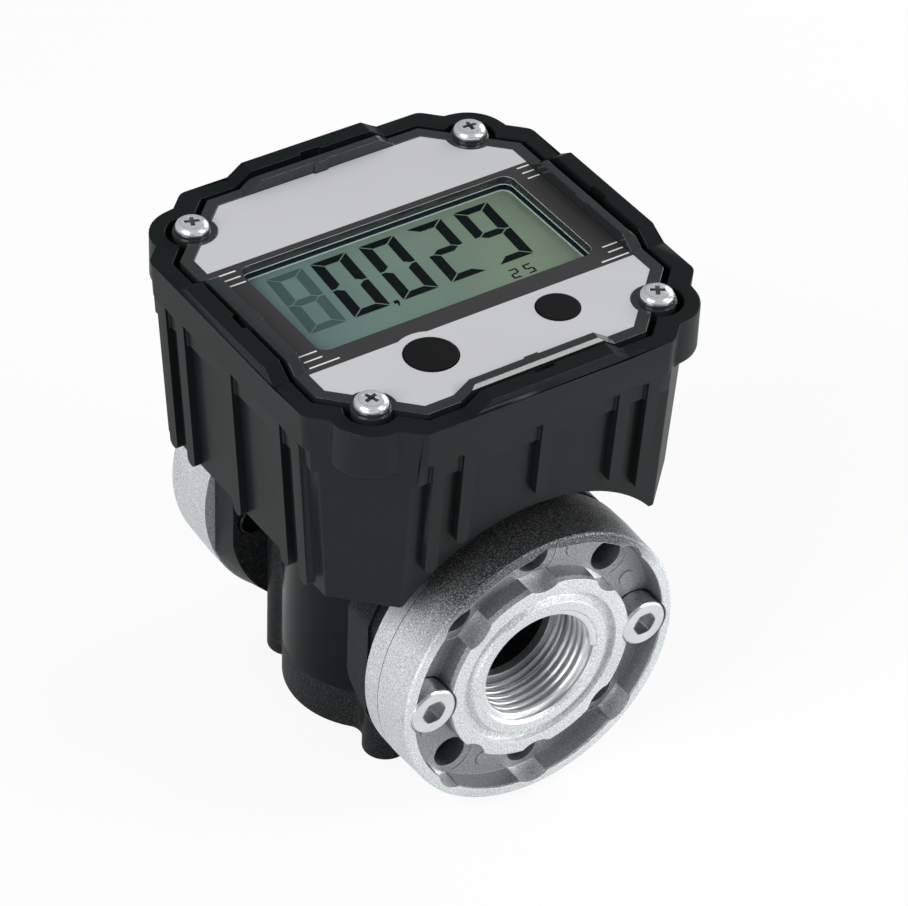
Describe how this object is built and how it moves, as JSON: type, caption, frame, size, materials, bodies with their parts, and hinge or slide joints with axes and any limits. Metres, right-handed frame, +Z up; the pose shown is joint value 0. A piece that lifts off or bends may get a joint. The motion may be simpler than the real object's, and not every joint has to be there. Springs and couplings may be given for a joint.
{
  "type": "oval gear flow meter",
  "caption": "Inline oval gear flow meter with two threaded flanges, a black cast body and a square digital register with push buttons on top.",
  "frame": {"origin": "on the ground between the four feet, below the middle of the whole meter", "axes": "+Z up through the register's face, +Y along the flow axis towards the outlet, +X to the right seen from the inlet"},
  "size_m": [0.114, 0.116, 0.1342],
  "materials": {
    "body_paint": "black satin paint over die casting",
    "cast_aluminium": "bare sand-textured casting with machined faces",
    "zinc_steel": "bright zinc plated",
    "black_plastic": "fine moulded texture",
    "cover_plastic": "dark glossy moulding",
    "label_film": "light grey printed film",
    "clear_window": "clear",
    "display": "grey-green reflective display",
    "seal_rubber": "smooth",
    "gear_plastic": "moulded",
    "steel_pin": "ground",
    "magnet": "plated",
    "board": "solder mask",
    "chip": "moulded",
    "frame_white": "moulded",
    "battery_wrap": "plain sleeve",
    "contact_metal": "plated spring sheet",
    "strip_film": "amber film",
    "button_plastic": "flush cap"
  },
  "bodies": {
    "meter": {"meter_body": "body_paint", "chamber_cover": "body_paint", "chamber_seal": "seal_rubber", "chamber_screws": "zinc_steel", "gear_pins": "steel_pin", "inlet_flange": "cast_aluminium", "outlet_flange": "cast_aluminium", "inlet_seal": "seal_rubber", "outlet_seal": "seal_rubber", "flange_screws": "zinc_steel", "register_housing": "black_plastic", "mounting_plate": "black_plastic", "housing_screws": "zinc_steel", "circuit_board": "board", "controller_chip": "chip", "display_glass": "display", "display_frame": "frame_white", "battery_tray": "black_plastic", "batteries": "battery_wrap", "battery_contacts": "contact_metal", "pulse_sensor": "chip", "sensor_strip": "strip_film", "key_switches": "contact_metal", "register_cover": "cover_plastic", "cover_gasket": "seal_rubber", "face_label": "label_film", "window_lens": "clear_window", "cover_screws": "zinc_steel"},
    "gear_a": {"oval_gear_a": "gear_plastic", "gear_magnets": "magnet"},
    "gear_b": {"oval_gear_b": "gear_plastic"},
    "reset": {"reset_button": "button_plastic"},
    "rate": {"rate_button": "button_plastic"}
  },
  "joints": [
    {"name": "gear_a_spin", "type": "hinge", "parent": "meter", "child": "gear_a", "pos_m": [-0.0135, 0.001, 0.0431], "axis": [0, 0, 1], "continuous": true},
    {"name": "gear_b_spin", "type": "hinge", "parent": "meter", "child": "gear_b", "pos_m": [0.0135, 0.001, 0.0431], "axis": [0, 0, 1], "continuous": true},
    {"name": "reset_press", "type": "slide", "parent": "meter", "child": "reset", "axis": [0, 0, -1], "range_m": [0, 0.0008], "stiffness_N_per_m": 800, "springref_m": -0.0005},
    {"name": "rate_press", "type": "slide", "parent": "meter", "child": "rate", "axis": [0, 0, -1], "range_m": [0, 0.0008], "stiffness_N_per_m": 800, "springref_m": -0.0005}
  ],
  "couplings": [
    {"joint": "gear_b_spin", "follows": "gear_a_spin", "ratio": -1}
  ]
}
